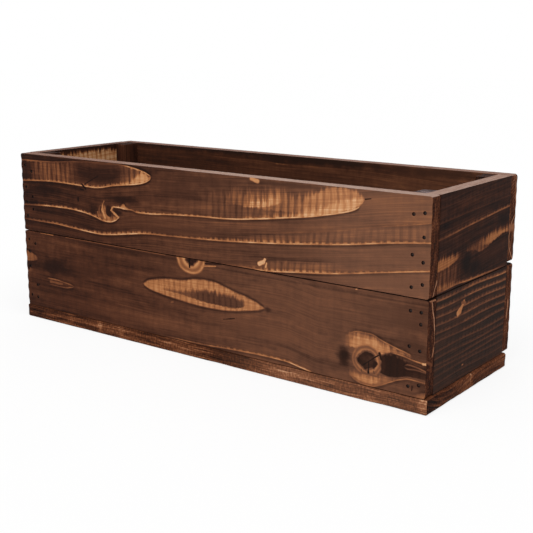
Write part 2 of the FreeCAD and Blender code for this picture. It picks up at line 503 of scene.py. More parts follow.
# %% Marks of the front's upper board
FRONT_UPPER_LINES = (
    Line(UP, ((0, 138.8, 2.5, .6), (20, 140.4, 3, .75), (50, 141.6, 4, .85), (80, 141.2, 4, .85),
         (100, 140.8, 4, .9), (112, 141.8, 4, .85), (125, 144.4, 4, .9), (140, 146.5, 4, .95),
         (155, 148.4, 4, 1), (168, 151.4, 3, 1), (174, 154.6, 2, .9), (176.5, 157, 0, 0))),
    Line(DOWN, ((0, 159.8, 1.5, .5), (20, 160, 3, .6), (45, 160.6, 3, .55), (75, 163, 2, .45),
         (120, 164.9, 1.2, .4), (140, 164.6, 1.5, .6), (150, 163.6, 3, .9), (160, 162, 3, 1),
         (168, 160.2, 3, 1), (174, 157.8, 1.5, .9), (176.5, 157, 0, 0))),
    Line(UP, ((0, 114.8, 1.5, .5), (20, 116, 2, .6), (40, 117.1, 2.5, .85), (60, 117.4, 3, .95),
         (80, 116.7, 3, .95), (95, 114.9, 3, .9), (104, 113, 3, .9), (112, 111, 4, .95), (120, 110.6, 4, 1),
         (127, 112, 3, 1), (133.5, 116, 1.5, .9), (135, 117, 0, 0))),
    Line(UP, ((123, 123.6, 0, 0), (125.5, 125, 1, .9), (133, 125.3, 3, .95), (140, 124.8, 4, .95),
         (150, 124.6, 1.5, .7), (157, 123.2, 3.5, .85), (175, 123.7, 2.5, .9), (190, 125, 2.5, .85),
         (230, 127.6, 2, .9), (265, 129.2, 2, .95), (290, 132, 3, 1), (320, 136.2, 4, 1), (345, 140, 5, 1),
         (360, 143, 5, 1), (375, 146.4, 5, 1), (384, 149.2, 4, 1), (389, 152, 2, .9), (391, 154, 0, 0))),
    Line(UP, ((0, 100.6, 2, .4), (40, 100.6, 3, .7), (75, 99, 3, .85), (90, 98.2, 2.5, .9),
         (105, 97.6, 4, 1), (125, 99.2, 4, 1), (140, 101.4, 4, .95), (165, 104.8, 4, .85),
         (200, 106.6, 2.5, .65), (240, 108.6, 4, .8), (280, 111.6, 5, .9), (310, 114.2, 7, .9),
         (345, 118, 5, .85), (380, 122.3, 3, .85), (420, 128.4, 4, .9), (450, 131.9, 2, .8))),
    Line(UP, ((262, 117.5, 0, 0), (280, 119.5, 3, .4), (320, 124, 3, .46), (355, 129, 4, .46),
         (380, 133.5, 3, .3), (405, 138.8, 3, .4), (435, 143.6, 4, .6), (450, 146.5, 2, .6))),
    Line(UP, ((225, 86, 0, 0), (240, 88.6, 2, .55), (260, 89.6, 2.5, .55), (280, 90.4, 3, .6),
         (296, 90.2, 6, .8), (310, 91, 6, .95), (330, 93.2, 7, .9), (365, 97.2, 5, .85),
         (400, 102.9, 3, .8), (440, 109.6, 1.5, .85), (450, 111.2, 1.2, .8))),
)
FRONT_UPPER_BANDS = (
    Band(.64, ((0, 139, 160, .05), (14, 140, 160, .15), (21, 140.5, 160, .7), (45, 141.5, 160.5, .85),
         (66, 142, 162.4, .7), (78, 141.5, 163, .25), (90, 141.4, 163.5, 0)), .62, 3),
    Band(.66, ((128, 145.4, 165, 0), (138, 146.8, 164.8, .35), (148, 148, 163.9, .7), (156, 149, 163, .9),
         (162, 150.2, 162, 1), (168, 152, 160.3, 1), (174, 154.8, 157.8, 1), (177, 157, 157.2, 0)), .55, 2),
    Band(.88, ((112, 142, 143, 0), (124, 144.2, 146.4, .7), (138, 146.6, 149.4, .8), (150, 148, 152, .85),
         (158, 149.4, 158, .9), (164, 150.8, 161.4, 1), (169, 152.4, 160, 1), (174, 154.8, 157.8, 1),
         (177, 157, 157.2, 0)), .12, 4),
    Band(.50, ((215, 127, 146, 0), (240, 129, 150, .5), (262, 130, 153, .8), (300, 134, 154, .9),
         (330, 138, 156, .9), (350, 141.5, 160, .5), (360, 143.5, 161, 0)), .55, 6),
    Band(.68, ((252, 143, 151, 0), (266, 142, 155, .7), (280, 141, 157, .9), (300, 141, 158.5, .95),
         (320, 141, 159, .95), (335, 141, 158.5, .95), (345, 141, 160.5, .95), (355, 143, 162, .8),
         (362, 145, 163, 0)), .42, 9),
    Band(.94, ((272, 140.5, 142, 0), (282, 141, 146.6, .6), (296, 142.4, 150.4, .9), (310, 145.4, 154, .85),
         (324, 150, 155.6, 0)), .36, 8),
    Band(.80, ((322, 138, 145, 0), (335, 139, 152, .5), (350, 141, 160, .85), (362, 143.6, 166, 1),
         (375, 146.8, 168, 1), (384, 149.6, 166, 1), (389, 152.6, 163.4, 1), (392.5, 156, 160.6, 1),
         (394.5, 158, 158.4, 0)), .26, 4),
    Band(.97, ((258, 128.8, 131, 0), (285, 131.2, 134.6, .45), (320, 136, 140.6, .65),
         (338, 138.6, 145.4, .8), (356, 142.4, 150.6, .9), (370, 145.6, 155.6, .9),
         (382, 149.6, 159.6, .85), (389, 153.6, 160.6, .7), (393, 157, 158.6, 0)), .18, 6),
    Band(.58, ((270, 113, 116, 0), (290, 113, 119, .6), (330, 117, 125, .7), (365, 121, 131, .6),
         (400, 126, 138, .35), (430, 131, 143, .55), (450, 133, 145.5, .6)), .5, 2),
    Band(.62, ((288, 91, 94, 0), (300, 91.5, 98, .6), (340, 95, 103, .7), (365, 98, 105.5, .4),
         (385, 101, 106, 0)), .5, 2),
    Band(.74, ((101, 114, 119, 0), (106, 113.2, 121, .45), (110, 112, 126, .5), (114, 111.4, 128, .8),
         (118, 111.2, 123, .95), (121, 111, 118, 1), (127, 112.6, 117, 1), (130, 114, 118.6, 1),
         (134, 116.5, 117, 0)), .25, 5),
    Band(.12, ((116.4, 120, 121, 0), (117.6, 117.2, 125, 1), (120, 115.6, 126.4, 1),
         (122.6, 115.4, 126.2, 1), (124, 118, 122, 1), (126, 119.6, 120, 0)), 0, 1),
    Band(.84, ((133, 125, 125.4, 0), (136, 125, 127, .8), (140, 125, 129.4, .9), (143, 124.8, 126.8, .9),
         (146, 124.6, 124.8, 0)), 0, 1),
)
FRONT_UPPER_STROKES = (
    *chain((125.6, 124.6), (123.8, 121.8, 1.5, .82), (127.6, 119.6, 1.5, .78), (133, 116.2, 1.4, .84)),
    *chain((115.4, 114), (112, 121, 1.4, .86), (113, 126.6, 1.1, .8), (115, 129.6, 0.9, .66)),
    Stroke((107, 114), (105.6, 119), 0.8, .66), Stroke((109.6, 118), (110, 124), 0.8, .2),
    Stroke((86, 142.6), (91, 139), 1.3, 0), Stroke((90, 143), (108, 152), .7, .05),
    Stroke((84, 138), (88, 137.6), 1.3, .03), Stroke((80, 126.2), (80.4, 129), 1.4, .03),
    Stroke((294.5, 95.5), (299, 97.5), 2.4, .98), Stroke((299, 98), (300.5, 100), 1.6, .95),
    Stroke((301, 93.5), (302, 97), .9, .9), Stroke((286, 165), (293, 163.4), 2.2, .86),
    Stroke((394, 158.5), (399, 159.5), .7, .1),
)
FRONT_UPPER_CLOUDS = (
    Cloud((32, 133), (24, 7), .06, .85), Cloud((100, 120), (9, 8), .05, .6),
    Cloud((140, 133), (22, 5), .05, .75), Cloud((132, 120.5), (8, 4), .06, .8),
    Cloud((110, 152), (34, 8), .12, .7), Cloud((235, 158), (40, 6), .22, .5),
    Cloud((45, 106), (60, 4), .34, .5), Cloud((190, 115), (70, 6), .40, .5),
    Cloud((60, 94), (70, 3), .32, .5), Cloud((330, 163), (55, 2.5), .2, .7),
    Cloud((410, 156), (30, 8), .58, .5), Cloud((398, 97), (46, 6), .50, .4),
    Cloud((350, 110), (60, 4), .34, .5), Cloud((8, 110), (12, 5), .5, .4),
    Cloud((8, 150), (10, 10), .10, .8), Cloud((205, 148), (32, 14), .22, .6),
    Cloud((425, 120), (44, 6), .36, .7), Cloud((420, 98), (50, 7), .36, .6),
)
print("front's upper board:", len(FRONT_UPPER_LINES), "ring lines,", len(FRONT_UPPER_BANDS), "bands of light")

# %% [markdown]
# ## The front's lower board
# This board has fewer rings, and its marks stand alone: a lens of pale wood, half a knot that the joint
# cuts off, and a big knot at the right. Two caps of pale wood curl round that knot, and the wood behind it
# is charred.

# %% Marks of the front's lower board
FRONT_LOWER_LINES = (
    Line(UP, ((28, 37.4, 0, 0), (36, 38, 1.5, .4), (55, 38, 1.5, .45), (65, 39.6, 1.5, .65),
         (72, 41, 0, 0))),
    Line(DOWN, ((24, 42, 0, 0), (32, 44.5, 3, .5), (42, 44.6, 3, .6), (55, 43.6, 1.5, .6),
         (65, 42.6, 1.5, .65), (72, 41, 0, 0))),
    Line(UP, ((165, 13, 0, 0), (200, 13.6, 2, .5), (230, 14, 2, .6), (255, 15.4, 3, .7),
         (275, 16.4, 3, .75), (305, 17.2, 2.5, .8), (322, 17, 3, .9), (335, 15, 3, .9), (345, 13.4, 2, .85),
         (354, 12, 0, 0))),
    Line(DOWN, ((372, 46, 0, 0), (380, 51.5, 1, .3), (390, 55.4, 1.5, .62), (400, 55.6, 1.5, .66),
         (412, 52, 1.5, .68), (424, 48.6, 1.2, .7), (436, 45.6, 1, .6), (440, 44, 0, 0))),
    Line(UP, ((412, 41, 0, 0), (420, 44, 1, .6), (430, 43.2, 1, .78), (440, 41.2, .8, .72),
         (450, 40.2, 1.5, .85))),
    Line(UP, ((380, 22, 0, 0), (386, 17, 2, .5), (394, 13.6, 2, .62), (402, 13.4, 2, .64),
         (410, 15.4, 2, .66), (420, 20.4, 1.5, .7), (428, 24, 1, .72), (437, 26, .8, .62),
         (450, 25.4, .8, .6))),
    Line(DOWN, ((430, 35.6, 0, 0), (434, 37.6, .8, .50), (441, 37.2, .8, .52), (450, 35, 1, .6))),
    Line(UP, ((430, 35.6, 0, 0), (434, 33.8, .6, .40), (441, 34.4, .6, .38), (450, 33.6, .6, .4))),
)
FRONT_LOWER_BANDS = (
    Band(.12, ((0, 85.4, 88, .1), (60, 85.6, 88.3, .3), (110, 85.4, 88.4, .7), (190, 85.6, 88.4, .5),
         (260, 84.6, 86.6, .6), (330, 84.4, 86.4, .5), (400, 84.4, 86.4, .4),
         (450, 84.6, 86.8, .6)), 0, 1.5),
    Band(.64, ((0, 57.6, 69, .95), (8, 58.6, 67.4, .9), (15, 60.2, 65, .8), (20, 61.8, 62.4, 0)), .25, 1),
    Band(.80, ((161, 58.3, 58.7, 0), (163, 57.4, 59.6, 1), (168, 55.2, 62.6, 1), (180, 53, 65.6, 1),
         (195, 51.2, 67.8, 1), (210, 50, 69, 1), (222, 49.2, 71.6, 1), (238, 48.8, 73, 1),
         (247, 49, 72.6, 1), (257, 49.4, 70.4, 1), (268, 50.8, 67.6, 1), (280, 53, 65.4, 1),
         (290, 55, 62.6, 1), (296, 56.6, 60.4, 1), (299, 58, 58.8, 1), (301, 58.2, 58.4, 0)), .22, .8),
    Band(.32, ((178, 57.6, 58.4, 0), (190, 56.4, 60.4, .4), (205, 55.4, 61, .6), (218, 54.6, 62, .7),
         (230, 53.4, 64, .95), (245, 52.6, 64.6, 1), (260, 52.6, 64.8, 1), (270, 53.4, 64, 1),
         (277, 55.6, 62, .9), (283, 58.4, 59.6, 0)), .35, 5),
    Band(.62, ((376, 43, 48, 0), (380, 42, 52, .6), (386, 42, 55, .95), (394, 42, 56.2, 1),
         (402, 41, 55.6, 1), (409, 40, 53.6, 1), (414, 41, 51.8, 1), (419, 43.4, 50.2, 1),
         (426, 44, 48.4, 1), (436, 43.4, 46, .7), (441, 41.6, 42.6, 0)), .2, 4),
    Band(.83, ((379, 44, 48, 0), (384, 42, 50.5, .7), (390, 42, 53, .95), (400, 41, 53.4, 1),
         (409, 40, 51.2, 1), (414, 41.6, 49.6, .9), (420, 44, 48.4, .6), (427, 45, 46.6, 0)), .14, 5),
    Band(.62, ((379, 21, 23, 0), (384, 17.6, 24, .8), (392, 13.8, 24, 1), (402, 13.2, 24, 1),
         (409, 15.2, 23.4, 1), (415, 18, 25, .9), (421, 21.2, 23.8, .9), (427, 24, 24.4, 0)), .2, 4),
    Band(.81, ((384, 20, 22, 0), (388, 17.6, 22, .8), (394, 15.4, 21.6, 1), (402, 15, 21.6, 1),
         (408, 17, 21.6, .9), (413, 19.6, 22, 0)), .14, 5),
    Band(.08, ((406, 27, 40, 0), (411, 26, 41, .9), (418, 24.6, 43.6, 1), (427, 25.8, 42.6, .95),
         (434, 27.6, 40, .85), (441, 28, 38.6, .7), (450, 28, 38.6, .6)), .5, 3),
    Band(.66, ((434, 12, 14, 0), (441, 11, 15, .4), (446, 11, 17, .7), (450, 11, 18, .95)), 0, 3),
)
FRONT_LOWER_STROKES = (
    Stroke((396, 29.6), (409, 39.8), .8, 0), Stroke((400.5, 23.4), (400.5, 33), .9, 0),
    Stroke((256, 41.4), (268, 44.2), .8, .06), Stroke((218.4, 82), (218.4, 90), 1.2, 0),
    Stroke((233, 84.8), (248, 86.6), 1.1, .74), Stroke((236, 87.8), (254, 89), 1.0, .1),
    Stroke((24, 88.7), (42, 88.7), .6, .66), Stroke((60, 88.8), (190, 88.7), .5, .5),
    Stroke((387.5, 88.4), (388.6, 88.6), .5, .8), Stroke((3, 50), (3.5, 53), 1.4, .02),
    Stroke((413.4, 28), (413, 38), 2.6, .12), Stroke((405, 29), (406.5, 33), 2.4, .08),
    Stroke((409.6, 41.4), (411.6, 37), 1.6, .04), Stroke((394, 25.6), (394.4, 23.8), .6, .3),
    Stroke((405, 26.4), (405.6, 24.4), .6, .3), Stroke((388, 22.6), (410, 22.4), .7, .42),
    Stroke((447, 40.4), (450, 40.8), 1.4, .95), Stroke((438.4, 18), (438.6, 21), 1.0, .15),
    Stroke((16, 35), (18, 36), 1.2, .08), Stroke((196, 46.5), (198, 47.2), .9, .5),
    Stroke((35, 41.4), (52, 41.2), 1.5, .5), Stroke((30, 12), (31, 13), 1, .05),
)
FRONT_LOWER_CLOUDS = (
    Cloud((44, 58), (26, 11), .07, .9), Cloud((95, 60), (40, 9), .20, .5),
    Cloud((378, 33), (8, 9), .05, .95), Cloud((303.5, 58), (5, 3), .10, .7),
    Cloud((425, 72), (42, 13), .30, .7), Cloud((438, 50), (18, 12), .22, .7),
    Cloud((370, 50), (12, 10), .24, .5), Cloud((60, 46), (16, 4), .4, .4),
    Cloud((436, 68), (16, 8), .26, .6), Cloud((3, 49), (6, 3), .6, .6), Cloud((300, 40), (60, 7), .47, .4),
    Cloud((120, 25), (120, 7), .40, .35), Cloud((330, 66), (60, 6), .46, .35),
)
FRONT_LOWER_KNOTS = (Knot((220, 90), (17, 14.5), .36, 2.4, .12, .70),
                     Knot((399.2, 33.6), (14, 12.6), .55, 3.3, .11, .58))
print("front's lower board:", len(FRONT_LOWER_LINES), "ring lines,", len(FRONT_LOWER_BANDS), "bands of light")

# %% [markdown]
# ## The right end
# The upper board of the right end has a flame that hangs below a sharp ring, and the lower one is cut
# across its rings, which stand as ribs. The ribs are much alike, so a rule draws them from their heights.

# %% Ring lines of the right end
RIGHT_UPPER_LINES = (
    Line(UP, ((0, 131, 3, .36), (30, 133, 3, .48), (60, 135.6, 3, .54), (80, 137, 2.6, .58),
         (100, 138.4, 2.4, .62), (120, 139.8, 2.4, .62), (150, 141.4, 2.4, .55))),
    Line(UP, ((0, 143, 4, .22), (40, 145.4, 4, .26), (100, 148, 4, .22), (150, 150, 4, .22))),
    Line(UP, ((0, 155, 5, .20), (60, 157, 5, .22), (150, 160, 4, .2))),
    Line(UP, ((10, 92, 3, .5), (46, 92.8, 3, .6), (60, 92, 3, .72), (80, 91.6, 2.4, .7),
         (100, 91.4, 1.6, .6), (122, 91.2, 1, .4), (140, 91, 1, .2))),
)
RIGHT_UPPER_BANDS = (
    Band(.47, ((8, 94, 110, .9), (30, 94, 111, .9), (44, 95, 110, .7), (52, 97, 107, 0)), .75, 6),
    Band(.69, ((8, 108, 119, 1), (30, 109, 119, 1), (42, 111.5, 118.4, .85), (52, 115, 118, 0)), .12, 5),
    Band(.55, ((50, 116.6, 117.4, 0), (60, 115.6, 119.6, .7), (72, 114.6, 121.4, .85),
         (84, 111.6, 122.4, .9), (95, 112.4, 123.6, .8), (104, 114, 125, 0)), .5, 5),
    Band(.69, ((80, 118, 120, 0), (90, 115.4, 122.8, .6), (99, 114.6, 124.4, .95), (108, 116, 125.8, 1),
         (118, 118, 126.4, 1), (128, 119.4, 126.2, 1), (140, 119, 124, .9)), .1, 6),
    Band(.66, ((8, 92.4, 98.4, .9), (30, 92.4, 97.4, .9), (46, 92.4, 96, .8), (58, 91.4, 94, .6),
         (70, 90.4, 92, 0)), .3, 4),
)
RIGHT_UPPER_CLOUDS = (
    Cloud((60, 107), (13, 11), .01, .95), Cloud((74, 100), (15, 7), .01, .9),
    Cloud((128, 131), (16, 5), .02, .85), Cloud((20, 89.5), (20, 2), .02, .8),
    Cloud((108, 107), (26, 8), .17, .6), Cloud((70, 128), (50, 3), .16, .5),
)


def as_points(*columns):
    """Points as a drawn line holds them, from arrays side by side."""
    return tuple(map(tuple, np.stack(columns, 1).tolist()))


RIB_HEIGHTS = (15, 21, 27, 31.5, 35.5, 40.6, 46.4, 53.6, 60.6, 67, 73.4, 80, 86.4)
RIB_TURN, RIB_DULL = 56, 50


def rib(height):
    """A ring line across the end board: brighter towards the top, and towards the back above half height.

    It wanders and falls a little, as height + 0.6 sin(u / 17 + 2 height) - 0.008 u.
    """
    share = (height - RIB_HEIGHTS[0]) / (RIB_HEIGHTS[-1] - RIB_HEIGHTS[0])
    near, far = 0.20 + 0.34 * share ** 1.5, 0.20 + 0.44 * share ** 1.2
    u = np.array([0, 16, 34, 52, 62, 78, 95, 112, 130, 150.0])
    wander = height + 0.6 * np.sin(u / 17 + 2 * height) - 0.008 * u
    light = near + (far - near) * (u > RIB_TURN) - 0.12 * share * (np.abs(u - RIB_DULL) < 8)
    return Line(UP, as_points(u, wander, 0 * u + 2.4 + 0.8 * share, light))


RIGHT_LOWER_LINES = tuple(rib(height) for height in RIB_HEIGHTS)
print("ring lines on the right end:", len(RIGHT_UPPER_LINES) + len(RIGHT_LOWER_LINES))

# %% [markdown]
# ## Faces that the picture doesn't show
# The back and the left end were scorched and brushed like the rest, so they get ring lines of the same kind.
# Drawing them by hand would only invent detail. They are grown from a few rules and a seed.

# %% Grown ring lines
RING_SPACING = (9, 20)
FLAME_REACH = (4, 18)
LEFT_TONE, RIGHT_TONE = .20, .27
KNOT_PUSH, KNOT_REACH = 9, (26, 16)
LINE_POINTS = 14


def grown_figure(seed, span, low, high, knot=None):
    """The drawing of one face.

    Height of a line = start + slope * u + a long sine wave, pushed away from the knot by
    9 mm * exp(-distance^2). Each line has a bell-shaped swell, and a long one carries a band of light.
    """
    random = np.random.default_rng(seed)
    slope, phase = random.uniform(-0.03, 0.05), random.uniform(0, 2 * pi)
    u = np.linspace(0, span, LINE_POINTS)
    lines, bands = [], []
    height = low - 8
    while height < high:
        middle, size = random.uniform(0, span), random.uniform(*FLAME_REACH)
        bell = np.exp(-((u - middle) / (0.14 * span + 8)) ** 2)
        line = height + slope * u + 2.5 * np.sin(2 * pi * u / (0.8 * span) + phase + height / 40)
        if knot:
            beside = (line - knot.at[1]) / KNOT_REACH[1]
            push = np.exp(-((u - knot.at[0]) / KNOT_REACH[0]) ** 2 - beside ** 2)
            line = line + KNOT_PUSH * np.sign(beside) * push
        light = np.clip(0.3 + 0.3 * random.random() + 0.5 * bell, 0, 1)
        side = UP if random.random() < 0.7 else DOWN
        lines.append(Line(side, as_points(u, line, 2 + 2 * bell, light)))
        if size > 0.6 * FLAME_REACH[1]:
            far = line + side * size * bell
            bands.append(Band(0.8, as_points(u, np.minimum(line, far), np.maximum(line, far), bell), 0.4, 4))
        height += random.uniform(*RING_SPACING)
    ground = ((0, LEFT_TONE), (span, RIGHT_TONE))
    return Figure(ground, lines=lines, bands=bands, knots=(knot,) if knot else (), follow=2)


def columns_at(points, u):
    """The three drawn columns at u, straight between the points."""
    table = np.array(points)
    return [np.interp(u, table[:, 0], table[:, column]) for column in (1, 2, 3)]


def figure_light(figure, u, v):
    """Share of light at points of a face: a line's slope down to its reach, and a band's flat top."""
    total = np.zeros(len(u))
    for band in figure.bands:
        low, high, share = columns_at(band.points, u)
        inside = share * np.clip(v - low + 0.5, 0, 1) * np.clip(high - v + 0.5, 0, 1)
        total += (band.tone - total) * inside
    for line in figure.lines:
        height, reach, light = columns_at(line.points, u)
        rise = (v - height) * line.side
        inside = np.clip(rise / 0.8 + 0.5, 0, 1) * np.clip(1 - rise / (reach + 1), 0, 1)
        total = np.maximum(total, light * inside)
    return total


print("a grown ring line has", LINE_POINTS, "points, and lines lie", RING_SPACING, "mm apart")

# %% [markdown]
# ## Scorched and brushed wood
# One number carries the look of such a face, its tone: 0 is char and 1 is bare brushed wood. A ramp turns
# the tone into a colour at the very end. The tone starts from the ground colour along the board, gets
# streaks and clouds, then the bands of light, then every ring line with its fringe of light and the dark
# rim beside it, and last the knots and strokes. Each line and band is read from one Vector Curves node,
# because that holds a smooth line through a few points, with three columns side by side.

# %% Reading drawn points in a material
LEVEL = 4.0
SIDES = {"front": (0, 1), "back": (0, -1), "right": (1, 1), "left": (1, -1)}


def side_span(side):
    return (LENGTH, DEPTH)[SIDES[side][0]]


def on_side(side, places):
    """Distance along a side from its left end, and height, for arrays and for sockets alike."""
    axis, sign = SIDES[side]
    return places[axis] * sign + side_span(side) / 2, places[2]


class Face:
    """One side of the box in a material: the distance along it, the height, and what is drawn there."""

    def __init__(self, tree, side):
        self.tree = tree
        self.span = side_span(side)
        self.u, self.v = on_side(side, tree.place())
        self.spot = tree.make("ShaderNodeCombineXYZ", {}, {0: self.u, 1: self.v})
        at = self.u * (2 / self.span) - 1
        self.ends = tree.make("ShaderNodeCombineXYZ", {}, {0: at, 1: at, 2: at})

    def read(self, points, scales=(1, 1, 1), shifts=(0, 0, 0)):
        """Up to three columns drawn over u, through one Vector Curves node, whose values lie in -1 to 1.

        A column is stored as value / scale - shift, so it comes back as scale * (value + shift). A curve is
        kept as a table with 1.8 mm steps, so the first and the last point get a level stretch beside them.
        """
        if points[0][0] > LEVEL:
            points = ((points[0][0] - LEVEL, *points[0][1:]), *points)
        if points[-1][0] < self.span - LEVEL:
            points = (*points, (points[-1][0] + LEVEL, *points[-1][1:]))
        curves = [[(-1, 0), (1, 0)] for _ in range(3)]
        for column in range(len(points[0]) - 1):
            scale, shift = scales[column], shifts[column]
            curves[column] = [(2 * p[0] / self.span - 1, p[column + 1] / scale - shift) for p in points]
        curved = self.tree.make("ShaderNodeVectorCurve", {"curves": curves}, {"Vector": self.ends})
        offsets = [scale * shift for scale, shift in zip(scales, shifts)]
        values = self.tree.vectors("MULTIPLY_ADD", curved, scales, offsets)
        return self.tree.make("ShaderNodeSeparateXYZ", {}, {0: values}, (0, 1, 2))

    def oval(self, at, size):
        """Distance from a centre in ovals: 1 on the oval of half axes size."""
        scale = (1 / size[0], 1 / size[1], 0)
        centre = (-at[0] / size[0], -at[1] / size[1], 0)
        away = self.tree.vectors("MULTIPLY_ADD", self.spot, scale, centre)
        return self.tree.vectors("LENGTH", away, outlet=1)


print("length of each side, mm:", {side: round(float(side_span(side))) for side in SIDES})

# %% [markdown]
# ## Marks on a face
# A mark is a distance turned into a share from 0 to 1. The planer's knives left a faint bar every 6.45 mm,
# and the brush dug the light parts out between the bars. So the bars cut both the fringe of a line and the
# inside of a band, and a little noise makes every edge ragged.

# %% Marks on a face
RIM_SHADE = 0.5
STREAK_LENGTH = 45
PATCH_SIZE = (9, 6)
SPIKE_SIZE = (2.4, 18)
DRIFT_SIZE, DRIFT = (60, 35), 9
Texture = namedtuple("Texture", "fine patchy spikes bars shade fringe")


def read_texture(tree, u, v, grain, seed):
    """Streaks, patches, spikes and the planer's bars, where 0 is a dark bar and 1 is between the bars."""
    fine = tree.noise(u / STREAK_LENGTH, grain, seed, 3.0)
    patchy = tree.noise(u / PATCH_SIZE[0], v / PATCH_SIZE[1], seed + 9) - 0.5
    spikes = tree.noise(u / SPIKE_SIZE[0], v / SPIKE_SIZE[1], seed + 14) - 0.5
    drift = tree.noise(u / DRIFT_SIZE[0], v / DRIFT_SIZE[1], seed + 20) * DRIFT
    wave = tree.maths("SINE", (u + drift) * (2 * pi / CHATTER)) + patchy * 1.6
    bars = tree.fade(wave, -1.1, 0.3, 0.62) + tree.fade(spikes, -0.16, 0.10, 0.38)
    return Texture(fine, patchy, spikes, bars, fine * 0.5 + 0.75, bars * 0.6 + 0.3)


def dark_rim(tree, rise):
    """The scorched rim just outside an edge: 1 from 0.7 to 0.9 mm outside it, and 0 past 3.4 mm."""
    return tree.fade(rise, -3.4, -0.9) * tree.fade(rise, 0.1, -0.7)


def line_mark(face, line, texture):
    """Light of a ring line, with a solid core and a fringe that the bars cut, and its dark rim."""
    tree = face.tree
    height, reach, light = face.read(line.points, (100, 30, 1), (1, 0, 0))
    rise = face.v - height if line.side == UP else height - face.v
    top = tree.maths("MULTIPLY_ADD", reach, texture.spikes + 1.1, 0.5)
    fringe = tree.fade(rise, top, 0.3) * texture.fringe
    core = tree.fade(rise, 1.6, 0.3) * (texture.patchy * 0.9 + 0.92)
    glow = tree.maths("MAXIMUM", fringe, core) * tree.fade(rise, -1.1, 0.2)
    return glow * light, dark_rim(tree, rise) * light


def band_mark(face, band, texture):
    """Share of a band with a ragged upper edge, its tone between the bars, and its dark rim."""
    tree = face.tree
    low, high, share = face.read(band.points, (100, 100, 1), (1, 1, 0))
    above, below = face.v - low, high - face.v
    rough_above = tree.maths("MULTIPLY_ADD", texture.spikes, 0.5 * band.ragged, above)
    rough_below = tree.maths("MULTIPLY_ADD", texture.spikes, 2 * band.ragged, below)
    inside = tree.fade(rough_above, -0.5, 0.9) * tree.fade(rough_below, -0.7, 0.8 + 0.6 * band.ragged) * share
    tone = tree.maths("MULTIPLY_ADD", texture.bars, band.tone * band.bars, band.tone * (1 - band.bars))
    rim = dark_rim(tree, tree.maths("MINIMUM", above, below)) * share
    return inside, tone * texture.shade, rim


def stroke_mark(face, stroke, ragged):
    """A short ragged mark: 1 near the segment from start to end, by the distance to its nearest point."""
    tree = face.tree
    way = (stroke.end[0] - stroke.start[0], stroke.end[1] - stroke.start[1], 0)
    away = tree.vectors("SUBTRACT", face.spot, (*stroke.start, 0))
    along = tree.vectors("DOT_PRODUCT", away, way, outlet=1)
    along = tree.maths("MULTIPLY", along, 1 / (way[0] ** 2 + way[1] ** 2), use_clamp=True)
    nearest = tree.make("ShaderNodeVectorMath", {"operation": "SCALE"}, {0: way, "Scale": along})
    distance = tree.vectors("DISTANCE", away, nearest, outlet=1)
    rough = tree.maths("MULTIPLY_ADD", ragged, 1.6 * stroke.width, distance)
    return tree.fade(rough, stroke.width, 0.4 * stroke.width)


def add_knot(face, tone, knot, ragged):
    """A knot: an uneven oval collar of fine rings, pale inside and out, round a dark core."""
    tree = face.tree
    radius = tree.maths("MULTIPLY_ADD", ragged, 0.16, face.oval(knot.at, knot.size))
    swing = 0.05 + 0.2 / knot.rings
    collar = tree.maths("SINE", radius * (2 * pi * knot.rings)) * (ragged * 0.12 + swing) + knot.collar
    tone = tree.toward(tone, collar + ragged * 0.3, tree.fade(radius, 1.06, 0.88))
    inner = tree.maths("MULTIPLY_ADD", ragged, 0.3, radius)
    tone = tree.toward(tone, 0.34, tree.fade(inner, knot.core + 0.13, knot.core + 0.05, 0.8))
    return tree.toward(tone, ragged * 0.35 + knot.tone, tree.fade(inner, knot.core + 0.04, knot.core - 0.03))


print("streaks are about", STREAK_LENGTH, "mm long, and a dark bar comes every", CHATTER, "mm")

# %% [markdown]
# ## A scorched face
# The noise behind the streaks is squeezed along the grain, and it follows one of the drawn lines, so the
# streaks bend with the rings. A thin pale haze lies over part of the board: partly a dusty film of soot, and
# partly painted sheen of the light that grazes the board. It is added after the ramp, because it dulls the
# colour and doesn't darken it, and its points hold the place, the share on brown wood and the share on char.

# %% A scorched face
TONE_STOPS = [(0, (.008, .005, .0045)), (.15, (.029, .011, .007)), (.30, (.064, .022, .0115)),
              (.45, (.116, .041, .0195)), (.60, (.212, .076, .0295)), (.75, (.352, .136, .050)),
              (.88, (.480, .222, .092)), (1, (.610, .345, .180))]
# Colour of the haze: a dusty film, and painted sheen of grazing light.
DUST_AND_SHEEN = (.060, .035, .023)
GLOSS = 0.02
BROAD_SIZE = (120, 10)
BROAD_SHARE, PATCHY_SHARE, BARS_SHARE = 0.4, 0.22, 0.05
RIM_TONE, RIM_RAGGED = 0.6, 4


def finish(tree, colour, roughness, height, relief, gloss=GLOSS):
    """Ends a material: colour, roughness and a bump of so many millimetres on a Principled shader."""
    bump = tree.make("ShaderNodeBump", {}, {"Height": height, "Distance": relief * MM})
    inputs = {"Base Color": colour, "Roughness": roughness, "Specular IOR Level": gloss, "Normal": bump}
    shader = tree.make("ShaderNodeBsdfPrincipled", {}, inputs)
    tree.make("ShaderNodeOutputMaterial", {}, {0: shader}, ())
    return tree.owner


